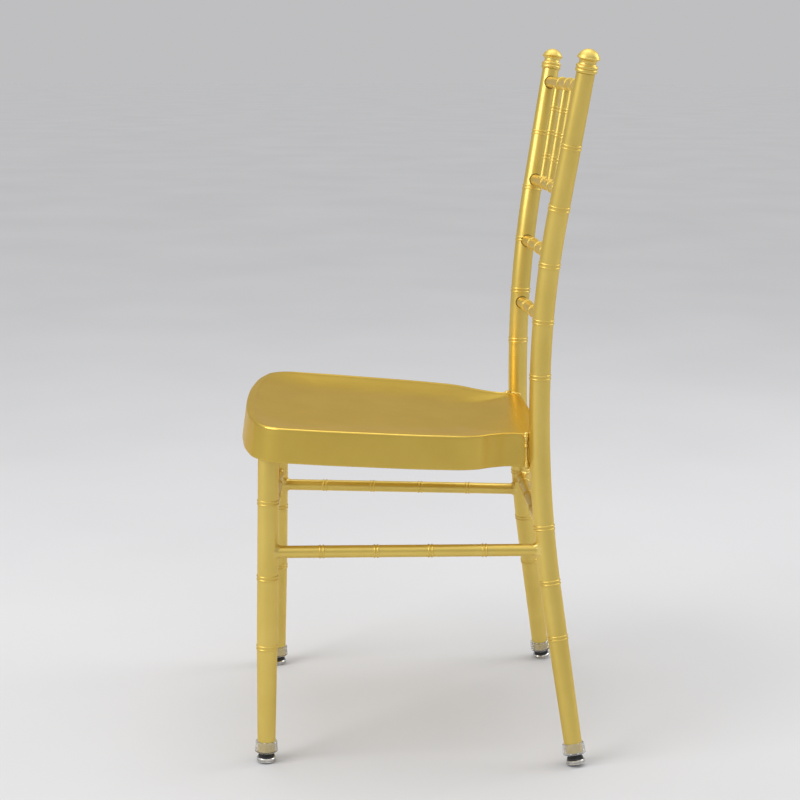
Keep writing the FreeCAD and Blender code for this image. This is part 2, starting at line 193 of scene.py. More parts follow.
def object_noise(nodes, links, scale, detail=3.0, roughness=0.5, stretch=(1, 1, 1)):
    """Noise over the piece's own coordinates."""
    where = nodes.new("ShaderNodeTexCoord")
    mapping = nodes.new("ShaderNodeMapping")
    mapping.inputs["Scale"].default_value = stretch
    links.new(where.outputs["Object"], mapping.inputs["Vector"])
    cloud = nodes.new("ShaderNodeTexNoise")
    cloud.inputs["Scale"].default_value = scale
    cloud.inputs["Detail"].default_value = detail
    cloud.inputs["Roughness"].default_value = roughness
    links.new(mapping.outputs["Vector"], cloud.inputs["Vector"])
    return cloud.outputs["Fac"]


def ramp(nodes, links, source, stops):
    """Colours laid along a value; each stop is (place, colour)."""
    node = nodes.new("ShaderNodeValToRGB")
    elements = node.color_ramp.elements
    while len(elements) < len(stops):
        elements.new(0.5)
    for element, (place, colour) in zip(elements, stops):
        element.position = place
        element.color = (*colour, 1)
    links.new(source, node.inputs["Fac"])
    return node.outputs["Color"]


def span(nodes, links, source, low, high):
    """A value from 0 to 1 laid between two others."""
    node = nodes.new("ShaderNodeMapRange")
    node.inputs["To Min"].default_value = low
    node.inputs["To Max"].default_value = high
    links.new(source, node.inputs["Value"])
    return node.outputs["Result"]


def bumped(nodes, links, target, layers):
    """Stacked bumps; each layer is (height, strength, distance in metres)."""
    normal = None
    for height, strength, distance in layers:
        node = nodes.new("ShaderNodeBump")
        node.inputs["Strength"].default_value = strength
        node.inputs["Distance"].default_value = distance
        links.new(height, node.inputs["Height"])
        if normal:
            links.new(normal, node.inputs["Normal"])
        normal = node.outputs["Normal"]
    links.new(normal, target.inputs["Normal"])


def gold_coat(name, light, dark, smooth, rough, wave, clear):
    """Gold coating under a clear layer: slightly uneven tone and gloss, with faint orange peel."""
    material, nodes, links, main = shader(name)
    drift = object_noise(nodes, links, 14, 4)
    links.new(ramp(nodes, links, drift, ((0.32, dark), (0.68, light))), main.inputs["Base Color"])
    main.inputs["Metallic"].default_value = 0.9
    main.inputs["Specular Tint"].default_value = (1.0, 0.78, 0.34, 1)
    main.inputs["Coat Weight"].default_value = clear
    main.inputs["Coat Roughness"].default_value = 0.2
    smear = object_noise(nodes, links, 60, 5, 0.6)
    links.new(span(nodes, links, smear, smooth, rough), main.inputs["Roughness"])
    peel = object_noise(nodes, links, 700, 2)
    swell = object_noise(nodes, links, 70, 1)
    bumped(nodes, links, main, ((swell, wave, 0.0006), (peel, 0.04, 0.0002)))
    return material


tube_gold = gold_coat(
    "gold_coated_tube", light=(0.80, 0.60, 0.145), dark=(0.74, 0.545, 0.12),
    smooth=0.36, rough=0.46, wave=0.04, clear=0.45)
# The seat's gold is the tubes' gold made darker: painted shade over the whole sheet
shaded_seat_gold = gold_coat(
    "gold_seat_sheet_with_painted_shade", light=(0.74, 0.53, 0.105), dark=(0.69, 0.485, 0.09),
    smooth=0.28, rough=0.38, wave=0.05, clear=0.2)
weld_gold = gold_coat(
    "gold_coated_weld", light=(0.86, 0.66, 0.20), dark=(0.72, 0.53, 0.13),
    smooth=0.30, rough=0.46, wave=0.25, clear=0.4)
finial_gold = gold_coat(
    "gold_coated_finial", light=(0.80, 0.61, 0.16), dark=(0.75, 0.56, 0.135),
    smooth=0.38, rough=0.50, wave=0.04, clear=0.4)


def seam_shadow():
    """Painted shadow: a dark line standing in for the shade in the gap where a rail enters the upright."""
    material, nodes, links, main = shader("painted_shadow_line")
    shadow_tone_noise = object_noise(nodes, links, 300, 3)
    links.new(ramp(nodes, links, shadow_tone_noise, ((0.3, (0.10, 0.06, 0.015)), (0.7, (0.26, 0.17, 0.04)))),
              main.inputs["Base Color"])
    main.inputs["Metallic"].default_value = 0.4
    links.new(span(nodes, links, shadow_tone_noise, 0.5, 0.7), main.inputs["Roughness"])
    pits = object_noise(nodes, links, 1800, 2)
    bumped(nodes, links, main, ((pits, 0.2, 0.0002),))
    return material


# Painted shadow for the dark gaps round the rail ends
painted_shadow_ring = seam_shadow()


def plated_foot():
    """Bright plating with fine wear scratches."""
    material, nodes, links, main = shader("bright_plated_foot")
    wear = object_noise(nodes, links, 220, 4, 0.6)
    links.new(ramp(nodes, links, wear, ((0.35, (0.52, 0.50, 0.46)), (0.62, (0.74, 0.73, 0.70)))),
              main.inputs["Base Color"])
    main.inputs["Metallic"].default_value = 1.0
    links.new(span(nodes, links, wear, 0.10, 0.28), main.inputs["Roughness"])
    lines = object_noise(nodes, links, 700, 2, 0.5, (1, 1, 6))
    bumped(nodes, links, main, ((lines, 0.12, 0.0002),))
    return material


def cushion_rubber():
    """Matt black rubber with a faint bloom."""
    material, nodes, links, main = shader("black_cushion_rubber")
    bloom = object_noise(nodes, links, 180, 4, 0.6)
    links.new(ramp(nodes, links, bloom, ((0.3, (0.012, 0.012, 0.013)), (0.75, (0.045, 0.045, 0.047)))),
              main.inputs["Base Color"])
    links.new(span(nodes, links, bloom, 0.55, 0.8), main.inputs["Roughness"])
    grain = object_noise(nodes, links, 2200, 2)
    bumped(nodes, links, main, ((grain, 0.25, 0.0002),))
    return material


def clear_cup():
    """Clear flexible plastic, a little cloudy and scuffed."""
    material, nodes, links, main = shader("clear_cup_plastic")
    haze = object_noise(nodes, links, 130, 3)
    links.new(ramp(nodes, links, haze, ((0.3, (0.90, 0.91, 0.91)), (0.7, (0.97, 0.98, 0.98)))),
              main.inputs["Base Color"])
    main.inputs["Transmission Weight"].default_value = 0.88
    main.inputs["IOR"].default_value = 1.42
    links.new(span(nodes, links, haze, 0.08, 0.22), main.inputs["Roughness"])
    scuff = object_noise(nodes, links, 900, 3)
    bumped(nodes, links, main, ((scuff, 0.08, 0.0002),))
    return material


def screw_steel():
    """Zinc-plated screw with turned lines."""
    material, nodes, links, main = shader("zinc_plated_screw")
    tone = object_noise(nodes, links, 260, 3)
    links.new(ramp(nodes, links, tone, ((0.3, (0.44, 0.44, 0.43)), (0.7, (0.60, 0.60, 0.58)))),
              main.inputs["Base Color"])
    main.inputs["Metallic"].default_value = 1.0
    links.new(span(nodes, links, tone, 0.28, 0.42), main.inputs["Roughness"])
    lines = object_noise(nodes, links, 900, 2, 0.5, (1, 1, 8))
    bumped(nodes, links, main, ((lines, 0.2, 0.0002),))
    return material


def plug_plastic():
    """Moulded dark plastic."""
    material, nodes, links, main = shader("moulded_plug_plastic")
    tone = object_noise(nodes, links, 150, 3)
    links.new(ramp(nodes, links, tone, ((0.3, (0.02, 0.02, 0.02)), (0.7, (0.05, 0.05, 0.05)))),
              main.inputs["Base Color"])
    links.new(span(nodes, links, tone, 0.45, 0.6), main.inputs["Roughness"])
    grain = object_noise(nodes, links, 1500, 2)
    bumped(nodes, links, main, ((grain, 0.15, 0.0002),))
    return material


plating = plated_foot()
rubber = cushion_rubber()
cup_plastic = clear_cup()
screw = screw_steel()
plug = plug_plastic()


# Geometry node trees

class Tree:
    """A geometry node tree with named inputs, built up node by node."""

    def __init__(self, name, sizes):
        self.group = bpy.data.node_groups.new(name, "GeometryNodeTree")
        face = self.group.interface
        face.new_socket("Geometry", in_out="INPUT", socket_type="NodeSocketGeometry")
        for label, value in sizes.items():
            kind = "NodeSocketInt" if isinstance(value, int) else "NodeSocketFloat"
            face.new_socket(label, in_out="INPUT", socket_type=kind).default_value = value
        face.new_socket("Material", in_out="INPUT", socket_type="NodeSocketMaterial")
        face.new_socket("Geometry", in_out="OUTPUT", socket_type="NodeSocketGeometry")
        self.source = self.group.nodes.new("NodeGroupInput").outputs
        self.result = self.group.nodes.new("NodeGroupOutput").inputs

    def node(self, kind, settings=None, **sockets):
        """Add a node; a socket is given by its name with spaces as underscores, by value or by link."""
        made = self.group.nodes.new(kind)
        for key, value in (settings or {}).items():
            setattr(made, key, value)
        for key, value in sockets.items():
            slot = int(key[1:]) if key[1:].isdigit() else key.replace("_", " ")
            socket = made.inputs[slot]
            if isinstance(value, bpy.types.NodeSocket):
                self.group.links.new(value, socket)
            else:
                socket.default_value = value
        return made.outputs

    def maths(self, operation, a, b):
        """One sum on two values."""
        return self.node("ShaderNodeMath", {"operation": operation}, s0=a, s1=b)[0]

    def attribute(self, name, kind="FLOAT"):
        """A value that the guide holds point by point."""
        return self.node("GeometryNodeInputNamedAttribute", {"data_type": kind}, Name=name)[0]

    def circle(self, sides, radius):
        """A flat ring of straight steps."""
        return self.node("GeometryNodeCurvePrimitiveCircle", Resolution=sides, Radius=radius)[0]

    def sweep(self, path, profile, **more):
        """Skin left by a profile drawn along a path."""
        return self.node("GeometryNodeCurveToMesh", Curve=path, Profile_Curve=profile, **more)[0]

    def close(self, parts):
        """Join the parts, realise them and give them their material."""
        joined = self.group.nodes.new("GeometryNodeJoinGeometry")
        for part in parts:
            self.group.links.new(part, joined.inputs[0])
        real = self.node("GeometryNodeRealizeInstances", Geometry=joined.outputs[0])[0]
        smooth = self.node("GeometryNodeSetShadeSmooth", Geometry=real)[0]
        made = self.node("GeometryNodeSetMaterial", Geometry=smooth, Material=self.source["Material"])[0]
        self.group.links.new(made, self.result[0])
        return self.group


def ringed_tube_tree():
    """A tube along a path, with a pair of round beads at each marked point of the path."""
    tree = Tree("ringed_tube", {
        "Tube radius": 0.01, "Sides": tube_sides, "Bead height": bead_height, "Bead width": bead_width,
        "Bead pitch": bead_pitch})
    size = tree.source
    path = tree.node("GeometryNodeMeshToCurve", Mesh=size["Geometry"])[0]
    radius = tree.attribute("tube_radius")
    tube_skin = tree.sweep(path, tree.circle(size["Sides"], 1.0), Scale=radius, Fill_Caps=True)
    half_width = tree.maths("MULTIPLY", size["Bead width"], 0.5)
    stretch = tree.node("ShaderNodeCombineXYZ", X=size["Bead height"], Y=half_width, Z=1.0)[0]
    section = tree.node("GeometryNodeTransform", Geometry=tree.circle(bead_sides, 1.0), Scale=stretch)[0]
    bead = tree.sweep(tree.circle(size["Sides"], size["Tube radius"]), section)
    pair = tree.group.nodes.new("GeometryNodeJoinGeometry")
    for half in (-0.5, 0.5):
        lift = tree.node("ShaderNodeCombineXYZ", Z=tree.maths("MULTIPLY", size["Bead pitch"], half))[0]
        moved = tree.node("GeometryNodeTransform", Geometry=bead, Translation=lift)[0]
        tree.group.links.new(moved, pair.inputs[0])
    is_ring = tree.attribute("ring", "BOOLEAN")
    marks = tree.node("GeometryNodeMeshToPoints", Mesh=size["Geometry"], Selection=is_ring)[0]
    along = tree.attribute("along", "FLOAT_VECTOR")
    turn = tree.node("FunctionNodeAlignRotationToVector", {"axis": "Z"}, Vector=along)[0]
    share = tree.maths("DIVIDE", radius, size["Tube radius"])
    rings = tree.node("GeometryNodeInstanceOnPoints", Points=marks, Instance=pair.outputs[0], Rotation=turn,
                      Scale=share)[0]
    return tree.close([tube_skin, rings])


def weld_tree():
    """A weld along a path: a round run of metal with overlapping ripples, its girth set point by point."""
    tree = Tree("weld_run", {"Weld radius": 0.002, "Ripple pitch": 0.0016, "Seed": 7})
    size = tree.source
    path = tree.node("GeometryNodeMeshToCurve", Mesh=size["Geometry"])[0]
    pitch = size["Ripple pitch"]
    even = tree.node("GeometryNodeResampleCurve", {"mode": "LENGTH"}, Curve=path, Length=pitch)[0]
    girth = tree.attribute("girth")
    core = tree.sweep(even, tree.circle(weld_sides, size["Weld radius"]), Scale=girth, Fill_Caps=True)
    points = tree.node("GeometryNodeCurveToPoints", {"mode": "EVALUATED"}, Curve=even)
    ball = tree.node("GeometryNodeMeshIcoSphere", Radius=size["Weld radius"], Subdivisions=3)[0]
    flat = tree.node("GeometryNodeTransform", Geometry=ball, Scale=ripple_shape)[0]
    least, most = ripple_swell
    swell = tree.node("FunctionNodeRandomValue", {"data_type": "FLOAT"}, s2=least, s3=most,
                      Seed=size["Seed"])[1]
    ripples = tree.node("GeometryNodeInstanceOnPoints", Points=points[0], Instance=flat,
                        Rotation=points["Rotation"], Scale=tree.maths("MULTIPLY", swell, girth))[0]
    return tree.close([core, ripples])


ringed_tube = ringed_tube_tree()
weld_run = weld_tree()


def baked(name, mesh, tree, values, material):
    """Run a tree on a mesh with the given inputs and keep the result as a plain object."""
    guide = bpy.data.objects.new(name + "_guide", mesh)
    bpy.context.scene.collection.objects.link(guide)
    modifier = guide.modifiers.new("shape", "NODES")
    modifier.node_group = tree
    ids = {item.name: item.identifier for item in tree.interface.items_tree if item.in_out == "INPUT"}
    for label, value in values.items():
        modifier[ids[label]] = value
    modifier[ids["Material"]] = material
    graph = bpy.context.evaluated_depsgraph_get()
    shape = bpy.data.meshes.new_from_object(guide.evaluated_get(graph))
    bpy.data.objects.remove(guide)
    return piece(name, shape, material)


def piece(name, mesh, material):
    """A finished mesh as an object with its material."""
    mesh.name = name
    made = bpy.data.objects.new(name, mesh)
    bpy.context.scene.collection.objects.link(made)
    mesh.materials.clear()
    mesh.materials.append(material)
    return made


def smooth_mesh(name, points, faces):
    """A smooth-shaded mesh."""
    mesh = bpy.data.meshes.new(name)
    mesh.from_pydata(points, [], faces)
    mesh.polygons.foreach_set("use_smooth", [True] * len(faces))
    return mesh


def gold_part(made):
    """A gold piece that stays with the frame."""
    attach(made, "frame")


# Centre lines of the frame

class Bend:
    """One arc of an upright between its vertical middle and a leaning end."""

    def __init__(self, knee_height, end_height, spread_out, rake, radius):
        self.knee = Vector((upright_x, upright_y, knee_height))
        end = Vector((upright_x + spread_out, upright_y + rake, end_height))
        self.direction = (end - self.knee).normalized()
        self.sense = 1 if end_height > knee_height else -1
        self.angle = UP.angle(self.direction * self.sense)
        self.radius = radius
        tangent = radius * math.tan(self.angle / 2)
        self.near = self.knee - UP * (self.sense * tangent)
        self.far = self.knee + self.direction * tangent
        self.aside = Vector((spread_out, rake, 0)).normalized()

    def at_height(self, height):
        """Point and upward direction on the centre line."""
        rise = self.sense * (height - self.near.z)
        if rise <= 0:
            return Vector((upright_x, upright_y, height)), UP.copy()
        if rise < self.sense * (self.far.z - self.near.z):
            turn = math.asin(rise / self.radius)
            side = self.aside * (self.radius * (1 - math.cos(turn)))
            point = self.near + side + UP * (self.sense * self.radius * math.sin(turn))
            return point, UP * math.cos(turn) + self.aside * (self.sense * math.sin(turn))
        run = (height - self.knee.z) / self.direction.z
        return self.knee + self.direction * run, self.direction * self.sense


lower_bend = Bend(lower_knee, 0.0, foot_spread, foot_rake, lower_bend_radius)
upper_bend = Bend(upper_knee, overall_height, top_spread, top_rake, upper_bend_radius)


def back_height(share):
    """Height at a share of the back, from the seat's rim to the top."""
    return seat_rim_height + (overall_height - seat_rim_height) * share


def upright_at(height):
    """Point and upward direction on the left upright's centre line."""
    return (upper_bend if height > (lower_knee + upper_knee) / 2 else lower_bend).at_height(height)


def front_leg_at(height):
    """Point and upward direction on the left front leg's centre line."""
    share = height / front_leg_head.z
    return front_leg_foot.lerp(front_leg_head, share), (front_leg_head - front_leg_foot).normalized()


def eased(value, low, high):
    """Share of the way from low to high, kept between 0 and 1."""
    return min(1.0, max(0.0, (value - low) / (high - low)))


def flipped(point, side):
    """The same place on the left (1) or right (-1) side."""
    return Vector((point.x * side, point.y, point.z))


def path_mesh(stations):
    """Guide for a ringed tube; each station is (point, direction, radius, is_ring)."""
    mesh = bpy.data.meshes.new("path")
    points, directions, radii, ring_marks = zip(*stations)
    mesh.from_pydata(points, [(i, i + 1) for i in range(len(points) - 1)], [])
    for name, kind, key, values in (("along", "FLOAT_VECTOR", "vector", directions),
                                    ("tube_radius", "FLOAT", "value", radii),
                                    ("ring", "BOOLEAN", "value", ring_marks)):
        layer = mesh.attributes.new(name, kind, "POINT")
        for item, value in zip(layer.data, values):
            setattr(item, key, value)
    return mesh


def tube(name, stations, radius, sides=tube_sides):
    """A ringed tube that stands for the frame's tube of the same name."""
    values = {"Tube radius": radius, "Sides": sides, "Bead height": bead_height, "Bead width": bead_width,
              "Bead pitch": bead_pitch}
    made = baked(name + "_ringed", path_mesh(stations), ringed_tube, values, tube_gold)
    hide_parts(name)
    gold_part(made)


def places_with_rings(low, high, rings, step):
    """Places from low to high at about a step, with every ring's own place among them."""
    marks = [low, *rings, high]
    result = []
    for a, b in zip(marks, marks[1:]):
        count = max(1, round((b - a) / step))
        result += [(a + (b - a) * i / count, i == 0 and a in rings) for i in range(count)]
    return result + [(high, False)]


foot_tube_low = {"front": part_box("front_leg_left")[0].z, "rear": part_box("rear_upright_left")[0].z}


def upright_stations(side):
    """Centre line of an upright with its tapers and rings."""
    top = overall_height - finial_length * upper_bend.direction.z - finial_gap
    low = foot_tube_low["rear"] + tube_end_radius * math.sqrt(1 - lower_bend.direction.z ** 2)
    stations = []
    rings = (*lower_rings, *(back_height(share) for share in back_ring_shares))
    for height, ring in places_with_rings(low, top, rings, upright_step):
        point, direction = upright_at(height)
        narrow = max(eased(height, upper_bend.far.z, top), eased(-height, -lower_bend.far.z, -low))
        radius = upright_radius + (tube_end_radius - upright_radius) * narrow
        stations.append((flipped(point, side), flipped(direction, side), radius, ring))
    return stations


def front_leg_stations(side):
    """Centre line of a front leg with its taper and rings."""
    low = foot_tube_low["front"]
    stations = []
    for height, ring in places_with_rings(low, front_leg_top, front_leg_rings, front_leg_step):
        point, direction = front_leg_at(height)
        radius = tube_end_radius + (upright_radius - tube_end_radius) * eased(height, low, front_taper_height)
        stations.append((flipped(point, side), flipped(direction, side), radius, ring))
    return stations


class Rail:
    """Flat arc from upright to upright, bowed backwards."""

    def __init__(self, share, ring_count):
        self.end = upright_at(back_height(share))[0]
        self.bend_radius = (self.end.x ** 2 + rail_bow ** 2) / (2 * rail_bow)
        self.centre = Vector((0, self.end.y + rail_bow - self.bend_radius, self.end.z))
        # Rings fewer than the spindles lie between them; otherwise they part the rail evenly
        panels = spindle_count + 1 if ring_count == spindle_count - 1 else ring_count + 1
        self.rings = [(i - (ring_count - 1) / 2) * 2 * self.end.x / panels for i in range(ring_count)]

    def at(self, x):
        """Point and direction where the rail crosses a distance from the middle."""
        y = math.sqrt(self.bend_radius ** 2 - x ** 2)
        return self.centre + Vector((x, y, 0)), Vector((y, -x, 0)).normalized()

    def stations(self):
        """The rail's path, with its ends just inside the uprights."""
        reach = self.end.x - rail_inset
        places = places_with_rings(-reach, reach, self.rings, rail_step)
        return [(*self.at(x), rail_radius, ring) for x, ring in places]


def straight_stations(start, end, radius, ring_places):
    """Straight tube between two points, drawn in at both ends; rings at distances from its middle."""
    direction = (end - start).normalized()
    half = (end - start).length / 2
    middle = start.lerp(end, 0.5)
    return [(middle + direction * place, direction, radius, ring)
            for place, ring in places_with_rings(straight_inset - half, half - straight_inset, ring_places,
                                                 straight_step)]


def spread(count, pitch):
    """Evenly pitched places about a middle."""
    return [(i - (count - 1) / 2) * pitch for i in range(count)]


def side_stretcher_ends(side):
    """Place and upward direction where a side stretcher ends, on the front leg and then on the upright."""
    front, rear = front_leg_at(side_stretcher_heights[0]), upright_at(side_stretcher_heights[1])
    return [[flipped(v, side) for v in end] for end in (front, rear)]


def spindle_ends():
    """Each spindle's number, then the place and the rail's direction at its lower and at its upper end."""
    crest, upper = (Rail(*rails[name]) for name in ("crest_rail", "upper_rail"))
    for index, share in enumerate(spread(spindle_count, 1 / (spindle_count + 1))):
        yield index + 1, upper.at(share * 2 * upper.end.x), crest.at(share * 2 * crest.end.x)


# The seat sheet

def seat_space(x, y, height):
    """A place over the level rim plane, moved to the real sloping one."""
    back = y - upright_y
    return Vector((x, upright_y + back * math.cos(seat_fall) + height * math.sin(seat_fall),
                   seat_rim_height - back * math.sin(seat_fall) + height * math.cos(seat_fall)))


def smooth_closed(points, corners, count):
    """Evenly spaced places on a closed line through the points, smooth but for the corners."""
    curve = bpy.data.curves.new("outline", "CURVE")
    curve.dimensions = "3D"
    curve.resolution_u = 24
    spline = curve.splines.new("BEZIER")
    spline.bezier_points.add(len(points) - 1)
    for knot, point in zip(spline.bezier_points, points):
        knot.co = point
        knot.handle_left_type = knot.handle_right_type = "VECTOR" if point in corners else "AUTO"
    spline.use_cyclic_u = True
    holder = bpy.data.objects.new("outline", curve)
    fine = [v.co.copy() for v in bpy.data.meshes.new_from_object(holder).vertices]
    bpy.data.objects.remove(holder)
    steps = [(fine[(i + 1) % len(fine)] - p).length for i, p in enumerate(fine)]
    total = sum(steps)
    result, i, run = [], 0, 0.0
    for k in range(count):
        goal = total * k / count
        while run + steps[i] < goal:
            run += steps[i]
            i += 1
        result.append(fine[i].lerp(fine[(i + 1) % len(fine)], (goal - run) / steps[i]))
    return result


def seat_rim():
    """Rim line, evenly stepped, with the outward direction at each place."""
    left = [Vector((x, y, 0)) for x, y in seat_outline]
    quarter_y = seat_back_y - seat_back_bow
    back = [Vector((x, y, 0)) for x, y in (
        (seat_back_quarter_x, quarter_y), (0, seat_back_y), (-seat_back_quarter_x, quarter_y))]
    right = [Vector((-p.x, p.y, 0)) for p in reversed(left[1:])]
    line = smooth_closed(left + back + right, (left[-1], right[0]), rim_points)
    outward = [(line[(i + 1) % rim_points] - line[i - 1]).normalized().cross(UP) for i in range(rim_points)]
    return line, outward


def dish_height(inset, softness):
    """Depth of the seat's surface at a distance in from the rim."""
    run = (inset - dish_crease) / dish_reach
    run = (run + math.sqrt(run * run + softness * softness)) / 2
    run = min(run, 1.0)
    step = crease_drop * eased(inset, dish_crease, dish_crease + crease_width)
    step *= eased(softness, crease_softness_limit, crisp_edge)
    step *= eased(inset, crease_fade_end, crease_fade_start)
    return -dish_depth * (1 - (1 - run) ** 2) - step


def seat_top(point, inset):
    """A place on the dished top, drawn in from the rim towards the middle of the dish."""
    ray = point - dish_centre
    place = dish_centre + ray * (1 - inset / ray.length)
    facing = -ray.normalized().y
    softness = crisp_edge + added_softness * (1 - eased(facing, side_facing, front_facing))
    cloud = noise.noise(Vector((place.x * wave_rate[0], place.y * wave_rate[1], wave_layer)))
    ripple = wave_height * cloud * eased(inset, *wave_rim_fade)
    ripple *= eased(place.length, *wave_middle_fade)
    return seat_space(place.x, place.y, dish_height(inset, softness) + ripple)


def seat_rows():
    """Closed rows over the sheet, from the apron's lower edge over the rim towards the middle of the dish."""
    line, outward = seat_rim()
    rows = []
    for share in apron_rows:
        height = -rim_radius - (apron_depth - rim_radius) * share
        rows.append([seat_space(*(p + o * apron_flare * share).xy, height) for p, o in zip(line, outward)])
    for step in range(rim_steps + 1):
        turn = math.radians(90 * step / rim_steps)
        out, height = rim_radius * (math.cos(turn) - 1), rim_radius * (math.sin(turn) - 1)
        rows.append([seat_space(*(p + o * out).xy, height) for p, o in zip(line, outward)])
    rows += [[seat_top(p, inset) for p in line] for inset in dish_rows]
    last = dish_rows[-1]
    for share in middle_rows:
        rows.append([seat_top(p, last + ((p - dish_centre).length - last) * share) for p in line])
    return rows


def seat_sheet():
    """Pressed seat: apron, rounded rim, crisp front crease and shallow dish, as one thin shell."""
    rows = seat_rows()
    count = rim_points
    points = [p for row in rows for p in row]
    points.append(seat_space(0, dish_centre.y, -dish_depth))
    faces = []
    for r in range(len(rows) - 1):
        for i in range(count):
            j = (i + 1) % count
            faces.append((r * count + i, r * count + j, (r + 1) * count + j, (r + 1) * count + i))
    base = (len(rows) - 1) * count
    faces += [(base + i, base + (i + 1) % count, len(points) - 1) for i in range(count)]
    made = piece("seat_sheet", smooth_mesh("seat_sheet", points, faces), shaded_seat_gold)
    wall = made.modifiers.new("wall", "SOLIDIFY")
    wall.thickness = sheet_thickness
    wall.offset = -1
    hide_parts("seat_pan")
    gold_part(made)


# Weld metal, and the painted shadow lines at the rails


def saddle(post_point, post_direction, post_radius, tube_point, tube_direction, tube_radius, count):
    """Line where a tube that starts inside a post comes out of the post's skin."""
    across = tube_direction.cross(post_direction).normalized()
    over = across.cross(tube_direction).normalized()
    line = []
    for i in range(count):
        turn = math.tau * i / count
        start = tube_point + (across * math.cos(turn) + over * math.sin(turn)) * tube_radius
        gap = start - post_point
        gap -= post_direction * gap.dot(post_direction)
        run = tube_direction - post_direction * tube_direction.dot(post_direction)
        a, b, c = run.dot(run), 2 * gap.dot(run), gap.dot(gap) - post_radius ** 2
        reach = (-b + math.sqrt(max(0.0, b * b - 4 * a * c))) / (2 * a)
        line.append(start + tube_direction * reach)
    return line


def line_mesh(points, girths, closed):
    """Guide for a weld run, with its girth at each point."""
    mesh = bpy.data.meshes.new("line")
    count = len(points)
    mesh.from_pydata(points, [(i, (i + 1) % count) for i in range(count if closed else count - 1)], [])
    mesh.attributes.new("girth", "FLOAT", "POINT").data.foreach_set("value", girths)
    return mesh


def weld(name, points, radius, girths=None, closed=True, material=weld_gold):
    """A weld run along a line of the frame, or a thin ring of painted shadow when given that material."""
    values = {"Weld radius": radius, "Ripple pitch": radius * ripple_pitch_share, "Seed": len(points)}
    guide = line_mesh(points, girths or [1.0] * len(points), closed)
    gold_part(baked(name, guide, weld_run, values, material))


def fillet(name, post, post_direction, direction, throat):
    """Weld metal run smooth between the skin of a leg or an upright and a stretcher that leaves it."""
    def line_at(radius):
        return saddle(post, post_direction, upright_radius, post, direction, radius, fillet_points)

    rings = []
    for step in range(fillet_steps + 1):
        turn = math.radians(90) * step / fillet_steps
        out = throat * (1 - math.sin(turn))
        away = throat * (1 - math.cos(turn))
        rings.append([p + direction * (away - fillet_sink) for p in line_at(stretcher_radius + out)])
    core = line_at(stretcher_radius - fillet_bite)
    rings.append([p + direction * (throat - fillet_sink) for p in core])
    rings.append([p - direction * fillet_root for p in core])
    rings.append([p - direction * fillet_root for p in line_at(stretcher_radius + throat)])
    count = fillet_points
    centre = sum(core, Vector()) / count
    points = []
    for r, ring in enumerate(rings):
        for i, point in enumerate(ring):
            swell = fillet_ripple_height * math.sin(math.tau * fillet_ripple_count * i / count)
            swell += fillet_lump_height * noise.noise(point * fillet_lump_rate)
            radial = point - centre
            radial -= direction * radial.dot(direction)
            points.append(point + radial.normalized() * swell * (1 <= r <= fillet_steps))
    faces = []
    for r in range(len(rings)):
        s = (r + 1) % len(rings)
        for i in range(count):
            j = (i + 1) % count
            faces.append((r * count + i, s * count + i, s * count + j, r * count + j))
    mesh = smooth_mesh(name, points, faces)
    work = bmesh.new()
    work.from_mesh(mesh)
    bmesh.ops.recalc_face_normals(work, faces=work.faces)
    work.to_mesh(mesh)
    work.free()
    gold_part(piece(name, mesh, weld_gold))


def build_frame_tubes():
    """Uprights, front legs, stretchers, rails and spindles."""
    cross_rings = spread(stretcher_ring_count, stretcher_ring_pitch)
    side_rings = [p + side_ring_shift for p in cross_rings]
    spindle_rings = spread(spindle_ring_count, spindle_ring_pitch)
    for label, side in SIDES:
        tube("rear_upright_" + label, upright_stations(side), upright_radius)
        tube("front_leg_" + label, front_leg_stations(side), upright_radius)
        (start, _), (end, _) = side_stretcher_ends(side)
        stations = straight_stations(start, end, stretcher_radius, side_rings)
        tube("side_stretcher_" + label, stations, stretcher_radius)
    for name, layout in rails.items():
        tube(name, Rail(*layout).stations(), rail_radius)
    for number, (bottom, _), (top, _) in spindle_ends():
        stations = straight_stations(bottom, top, spindle_radius, spindle_rings)
        tube(f"spindle_{number}", stations, spindle_radius, spindle_sides)
    for name, at in (("front_stretcher", front_leg_at), ("rear_stretcher", upright_at)):
        end = at(cross_stretcher_height)[0]
        stations = straight_stations(flipped(end, -1), end, stretcher_radius, cross_rings)
        tube(name, stations, stretcher_radius)


def build_joint_welds():
    """Painted shadow lines where the rails enter the uprights, and weld metal at the ends of the spindles and
    stretchers and at the seat.
    """
    for label, side in SIDES:
        for name, layout in rails.items():
            rail = Rail(*layout)
            point, direction = rail.at(rail.end.x * side)
            post, post_direction = (flipped(v, side) for v in upright_at(rail.end.z))
            line = saddle(post, post_direction, upright_radius, point, direction * -side,
                          rail_radius + seam_lift, seam_points)
            # A thin dark ring of painted shadow round the rail where it enters the upright
            weld(f"seam_{name}_{label}", line, seam_radius, material=painted_shadow_ring)
        (front, front_direction), (rear, rear_direction) = side_stretcher_ends(side)
        run = (rear - front).normalized()
        fillet(f"weld_side_stretcher_front_{label}", front, front_direction, run, weld_throat)
        fillet(f"weld_side_stretcher_rear_{label}", rear, rear_direction, -run, weld_throat)
        for name, at in (("front", front_leg_at), ("rear", upright_at)):
            post, post_direction = (flipped(v, side) for v in at(cross_stretcher_height))
            inward = Vector((-side, 0, 0))
            fillet(f"weld_{name}_stretcher_{label}", post, post_direction, inward, cross_weld_throat)
        weld_seat(label, side)
    for number, (bottom, bottom_run), (top, top_run) in spindle_ends():
        run = (top - bottom).normalized()
        for end, place, rail_run, away in (("low", bottom, bottom_run, run), ("high", top, top_run, -run)):
            line = saddle(place, rail_run, rail_radius, place, away, spindle_radius, spindle_weld_points)
            weld(f"weld_spindle_{number}_{end}", line, spindle_weld_radius)


